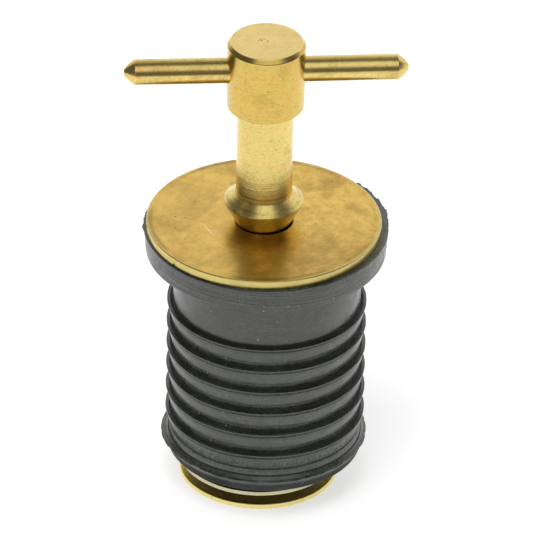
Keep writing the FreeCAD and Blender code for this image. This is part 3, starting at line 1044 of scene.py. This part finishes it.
def mould(bm, sizes):
    """What moulding and trimming leave: wavering crests, a torn fin at the seam and flash on the flange's edge."""
    top, low = RUBBER_HIGH[2] / MM, RUBBER_LOW[2] / MM
    widest = sizes.flange - 0.01
    for vert in bm.verts:
        x, y, z = vert.co / MM
        x -= sizes.shift
        r, angle = math.hypot(x, y), math.atan2(y, x)
        if r < sizes.foot - 0.5:
            continue
        # The foot lies a little back, and the whole outside wavers
        low_down = max(0.0, 1.0 - (z - low) / (sizes.seam - low))
        r += sizes.foot_back * low_down * math.sin(angle)
        around = Vector((math.cos(angle), math.sin(angle), z * 0.2))
        r += sizes.waver * noise.noise(around * 2.3)
        # Uneven crests
        if z < sizes.flange_low - 2.0 and r > sizes.hollow:
            edge = min(1.0, (r - sizes.hollow) / 0.25) * sizes.chipped
            r += edge * rough(angle, 7.0, z)
            z += edge * rough(angle, 4.0, z + 5.0)
        # Torn fin, which stands out most at the left
        if abs(z - sizes.seam) < 0.16 and r > sizes.skirt + 0.05:
            r += sizes.torn * rough(angle, 9.0, 2.0)
            r += 0.38 * near_angle(angle, 186.0, 38.0) + 0.1 * near_angle(angle, 5.0, 30.0)
            z += sizes.torn * rough(angle, 5.0, 8.0) + 0.2 * near_angle(angle, 190.0, 40.0)
        # Flange cut closer at the rear left, with flash on its upper edge at the rear right and at the left
        if z > sizes.flange_low and r > sizes.flange_foot - 0.3:
            r -= sizes.trimmed * near_angle(angle, 134.0, 46.0)
        if z > top - 0.3 and r > sizes.flange - 0.9:
            flash = 2.6 * near_angle(angle, 36.0, 46.0) + near_angle(angle, 170.0, 26.0) + 0.08
            edge = min(1.0, (r - sizes.flange + 0.9) / 0.6)
            r += edge * flash * (0.24 + 0.30 * rough(angle, 11.0, 6.0))
            z += edge * (0.03 + 0.09 * rough(angle, 8.0, 1.0)) * (0.4 + flash)
        y = max(-widest, min(widest, r * math.sin(angle)))
        vert.co = Vector((r * math.cos(angle) + sizes.shift + lean(sizes, z), y, min(z, top))) * MM


def lean(sizes, z):
    """The loose rubber leans: the ribs lie a little further out than the flange."""
    t = min(1.0, max(0.0, (sizes.flange_low - z) / 6.0))
    return sizes.lean * (2.0 * t * t * (3.0 - 2.0 * t) - 1.0)


# Specks on the rubber: degrees from the front, height above the table in millimetres, and size as a multiple
CRUMBS = (
    (-17.0, 42.0, 1.3), (-5.5, 41.4, 1.2), (11.0, 41.1, 1.3), (-5.5, 40.4, 1.1), (-7.5, 39.9, 1.3), (24.0, 39.1, 1.1),
    (-28.5, 28.4, 1.2), (-28.5, 27.4, 1.0), (-41.0, 24.7, 1.2), (-27.0, 21.8, 1.4), (-29.0, 18.8, 1.5),
    (-28.0, 16.0, 1.6), (-38.0, 12.5, 1.5), (19.5, 6.1, 1.5), (40.0, 10.0, 1.4), (23.0, 7.5, 1.3), (42.5, 12.8, 1.2),
    (8.0, 32.4, 1.0), (30.0, 18.2, 1.2), (-12.0, 22.6, 0.9), (-50.0, 34.5, 0.9), (48.0, 30.6, 1.0), (120.0, 24.6, 1.3),
    (160.0, 35.5, 1.2), (200.0, 15.6, 1.4), (245.0, 28.6, 1.2), (100.0, 9.6, 1.3),
)
CRUMB_RADIUS = 0.075
CRUMB_SEED = 7


def crumbs_on(mesh, sizes, look):
    """Specks of dust on the rubber's outside, each set down on the surface itself."""
    bm = bmesh.new()
    bm.from_mesh(mesh)
    skin = BVHTree.FromBMesh(bm)
    bm.free()
    places, lumps = [], []
    for angle, height, lump in CRUMBS:
        turn = math.radians(angle - 90.0)
        out = Vector((math.cos(turn), math.sin(turn), 0))
        start = out * 30.0 * MM + Vector((sizes.shift * MM, 0, height * MM))
        hit = skin.ray_cast(start, -out)[0]
        if hit is not None:
            places.append(hit)
            lumps.append(lump)
    points = bpy.data.meshes.new("crumb_points")
    points.from_pydata(places, [], [])
    points.attributes.new("lump", "FLOAT", "POINT").data.foreach_set("value", lumps)
    made = run_nodes(linked_object("crumb_points", points), made_once(crumbs), {
        "Size": CRUMB_RADIUS * MM, "Seed": CRUMB_SEED, "Chalk": crumb_material(look)})
    return piece("rubber_specks", made, made.materials[0], 60.0)


class PLUG_OT_clamp(Operator):
    """Thrust washer and flanged nut under the rubber"""

    bl_idname = "plug.clamp"
    bl_label = "Make washer and nut"

    def execute(self, context):
        group, look = context.scene.plug_metal, context.scene.plug_finish
        sizes = Millimetres(group)
        low, high, top = WASHER_LOW[2] / MM, WASHER_HIGH[2] / MM, NUT_HIGH[2] / MM
        hole = sizes.nut_barrel + 0.1
        washer = ((hole, low, 0.05), (sizes.disc, low, 0.3), (sizes.disc, high, 0.12), (hole, high, 0.05))
        nut = (
            (sizes.nut_bore + 0.4, 0.0, 0.05),
            (sizes.disc, 0.0, 0.12),
            (sizes.disc, sizes.nut_flange, 0.12),
            (sizes.nut_step, sizes.nut_flange, 0.15),
            (sizes.nut_step, low, 0.08),
            (sizes.nut_barrel, low, 0.08),
            (sizes.nut_barrel, top, 0.15),
            (sizes.nut_bore + 0.4, top, 0.05),
            (sizes.nut_bore, top - 0.4, 0.05),
            (sizes.nut_bore, 0.4, 0.05),
        )

        def worn_rim(angle, r, z):
            """The rim has a small step, as if two cuts met there."""
            if r > sizes.disc - 0.3:
                r -= 0.05 + 0.05 * near_angle(angle, 225.0, 22.0) + 0.02 * rough(angle, 3.0, 1.0)
            return r, z

        rims = (
            ("thrust_disc", washer, "washer_brass", look.washer_brass, "thrust_washer"),
            ("turned_nut", nut, "nut_brass", look.nut_brass, "flange_nut"),
        )
        for name, corners, slot, clean, node in rims:
            brass = brass_material(slot, clean, look, depth=0.006, dull=0.25, gloss=(0.2, 0.34), cloud=130.0,
                                   rings=3500.0, extra=clamp_dirt)
            mesh = turned_mesh(name, soften(corners, run=1.5), group.steps, shape=worn_rim)
            settle(piece(name, mesh, brass), "clamp", slot, node)
        turns = (top - 0.9) / sizes.thread_pitch - 0.7
        thread_low = SPINDLE_LOW[2] / MM + 0.3 + sizes.thread_pitch * 0.5
        root, crest = sizes.nut_bore + 0.01, sizes.nut_bore - 0.55
        thread = thread_piece("nut_thread", sizes, crest, root, thread_low, turns, brass, inward=True)
        settle(thread, "clamp", "nut_brass")
        return {"FINISHED"}


def clamp_dirt(coat, look):
    """Painted olive shade and reflection in the gap between washer and nut, away from the bright rims."""
    radius = coat.flattened(coat.split(coat.place))[1]
    inner = coat.remap(radius, 12.1 * MM, 11.5 * MM)
    coat.paint(inner, look.grime, 0.85)
    coat.dull(inner, 0.25)


# Stage


class PLUG_OT_stage(Operator):
    """Pale floor, even daylight, light tent with a dark front, soft lamp and camera"""

    bl_idname = "plug.stage"
    bl_label = "Make stage"

    def execute(self, context):
        stage = context.scene.plug_stage
        context.scene.view_settings.view_transform = "Standard"
        make_floor(context.scene.plug_finish, stage)
        make_daylight(context.scene)
        make_tent(stage)
        make_lamp(stage)
        make_camera(context.scene, stage)
        return {"FINISHED"}


def make_floor(look, stage):
    """A wide pale floor. It keeps the object's shadow and adds a little white for camera and reflections."""
    half = stage.floor_half
    mesh = bpy.data.meshes.new("floor")
    mesh.from_pydata([(-half, -half, 0), (half, -half, 0), (half, half, 0), (-half, half, 0)], [], [(0, 1, 2, 3)])
    material, net = blank_material("floor")
    grain = net.fog(net.object_place(), 3.0, detail=2.0)
    tone = net.mix(grain, rgba(look.floor), rgba(look.floor, 1.01))
    paper = net.first("ShaderNodeBsdfDiffuse", {"Color": tone})
    path = net.add("ShaderNodeLightPath").outputs
    seen = net.largest([path["Is Camera Ray"], path["Is Glossy Ray"], path["Is Transmission Ray"]])
    glow = net.first("ShaderNodeEmission", {"Strength": net.times(seen, stage.floor_glow)})
    both = net.first("ShaderNodeAddShader", {0: paper, 1: glow})
    net.add("ShaderNodeOutputMaterial", {"Surface": both})
    mesh.materials.append(material)
    linked_object("floor", mesh)


def make_daylight(scene):
    """Even white light behind everything."""
    scene.world = bpy.data.worlds.new("daylight")
    scene.world.use_nodes = True
    background = scene.world.node_tree.nodes["Background"]
    background.inputs["Color"].default_value = (1.0, 1.0, 1.0, 1.0)
    background.inputs["Strength"].default_value = 1.0


# The light tent's bright parts: middle of its azimuth from the front, half width, lower and upper edge, soft
# edges round and up (all in degrees) and level
TENT_PARTS = (
    (152.0, 86.0, -80.0, 28.0, 30.0, 18.0, 1.0),
    (165.0, 75.0, -80.0, 86.0, 26.0, 60.0, 1.0),
    (5.0, 60.0, 34.0, 92.0, 26.0, 18.0, 1.0),
    (-26.0, 12.0, 4.0, 30.0, 7.0, 8.0, 0.9),
)


def make_tent(stage):
    """A dome of white cloth with a dark front and roof. The camera doesn't see it."""
    bm = bmesh.new()
    bmesh.ops.create_uvsphere(bm, u_segments=48, v_segments=24, radius=stage.tent)
    below_floor = [vert for vert in bm.verts if vert.co.z < -1e-5]
    bmesh.ops.delete(bm, geom=below_floor, context="VERTS")
    mesh = bpy.data.meshes.new("light_tent")
    bm.to_mesh(mesh)
    bm.free()
    material, net = blank_material("light_tent")
    material.cycles.emission_sampling = "NONE"
    parts = net.split(net.object_place())
    rise = net.calc("ARCSINE", net.calc("DIVIDE", parts["Z"], stage.tent))

    def way(x_share, y_share):
        """How far a point lies in a level direction."""
        return net.calc("MULTIPLY_ADD", parts["X"], x_share, net.times(parts["Y"], y_share))

    def edge(value, start, soft):
        """A mask that grows from start over a soft width, both in degrees."""
        return net.remap(value, math.radians(start), math.radians(start + soft))

    lit = []
    for middle, half, low_edge, high_edge, soft_round, soft_up, level in TENT_PARTS:
        turn = math.radians(middle)
        across, ahead = way(math.cos(turn), math.sin(turn)), way(math.sin(turn), -math.cos(turn))
        off = net.calc("ABSOLUTE", net.calc("ARCTAN2", across, ahead))
        wide = net.times(edge(off, half, -soft_round), level)
        lit.append(net.times(wide, net.times(edge(rise, low_edge, soft_up), edge(rise, high_edge, -soft_up))))
    strength = net.calc("MULTIPLY_ADD", net.largest(lit), 1.0 - stage.tent_dark, stage.tent_dark)
    net.add("ShaderNodeOutputMaterial", {"Surface": net.first("ShaderNodeEmission", {"Strength": strength})})
    mesh.materials.append(material)
    tent = linked_object("light_tent", mesh)
    tent.visible_camera = False
    tent.visible_shadow = False


# Where the soft lamp stands and where it points, in metres
LAMP_PLACE = (-0.35, -0.35, 1.25)
LAMP_AIM = (0, 0, 0.04)


def make_lamp(stage):
    """One wide soft lamp, high at the left front, for a gentle shadow and light on upward faces."""
    lamp = bpy.data.lights.new("soft_lamp", "AREA")
    lamp.shape = "DISK"
    lamp.size = stage.lamp_size
    lamp.energy = stage.lamp
    obj = linked_object("soft_lamp", lamp)
    obj.location = LAMP_PLACE
    aim = Vector(LAMP_AIM) - obj.location
    obj.rotation_euler = aim.to_track_quat("-Z", "Y").to_euler()
    obj.visible_glossy = False


def make_camera(scene, stage):
    """The camera at the photo's angle, with its small roll."""
    data = bpy.data.cameras.new("camera")
    data.lens = stage.lens
    data.sensor_width = 36.0
    data.clip_start, data.clip_end = 0.1, 30.0
    camera = linked_object("camera", data)
    scene.camera = camera
    turn, rise, roll = stage.turn, stage.elevation, stage.roll
    back = Vector((-math.sin(turn) * math.cos(rise), -math.cos(turn) * math.cos(rise), math.sin(rise)))
    right = Vector((math.cos(turn), -math.sin(turn), 0))
    up = back.cross(right)
    right, up = right * math.cos(roll) + up * math.sin(roll), up * math.cos(roll) - right * math.sin(roll)
    aim = Vector((stage.aim_x, 0, stage.aim_z))
    turned = Matrix((right, up, back)).transposed().to_4x4()
    camera.matrix_world = Matrix.Translation(aim + back * stage.distance) @ turned


# Panel and registration

MAKERS = (PLUG_OT_spindle, PLUG_OT_bar, PLUG_OT_plate, PLUG_OT_rubber, PLUG_OT_clamp, PLUG_OT_stage)


class PLUG_PT_panel(Panel):
    """Lists the makers of the drain plug"""

    bl_idname = "PLUG_PT_panel"
    bl_label = "Drain plug"
    bl_space_type = "VIEW_3D"
    bl_region_type = "UI"
    bl_category = "Drain plug"

    def draw(self, context):
        for maker in MAKERS:
            self.layout.operator(maker.bl_idname)


GROUPS = (
    ("plug_rubber", PLUG_PG_rubber),
    ("plug_metal", PLUG_PG_metal),
    ("plug_finish", PLUG_PG_finish),
    ("plug_stage", PLUG_PG_stage),
)


def register():
    """Registers the classes and hangs the property groups on the scene."""
    for name, group in GROUPS:
        bpy.utils.register_class(group)
        setattr(bpy.types.Scene, name, PointerProperty(type=group))
    for maker in MAKERS + (PLUG_PT_panel,):
        bpy.utils.register_class(maker)


def unregister():
    """Takes all of it back."""
    for maker in reversed(MAKERS + (PLUG_PT_panel,)):
        bpy.utils.unregister_class(maker)
    for name, group in reversed(GROUPS):
        delattr(bpy.types.Scene, name)
        bpy.utils.unregister_class(group)


def main():
    """Makes every piece and the stage."""
    register()
    bpy.ops.plug.spindle()
    bpy.ops.plug.bar()
    bpy.ops.plug.plate()
    bpy.ops.plug.rubber()
    bpy.ops.plug.clamp()
    bpy.ops.plug.stage()


if __name__ == "__main__":
    main()
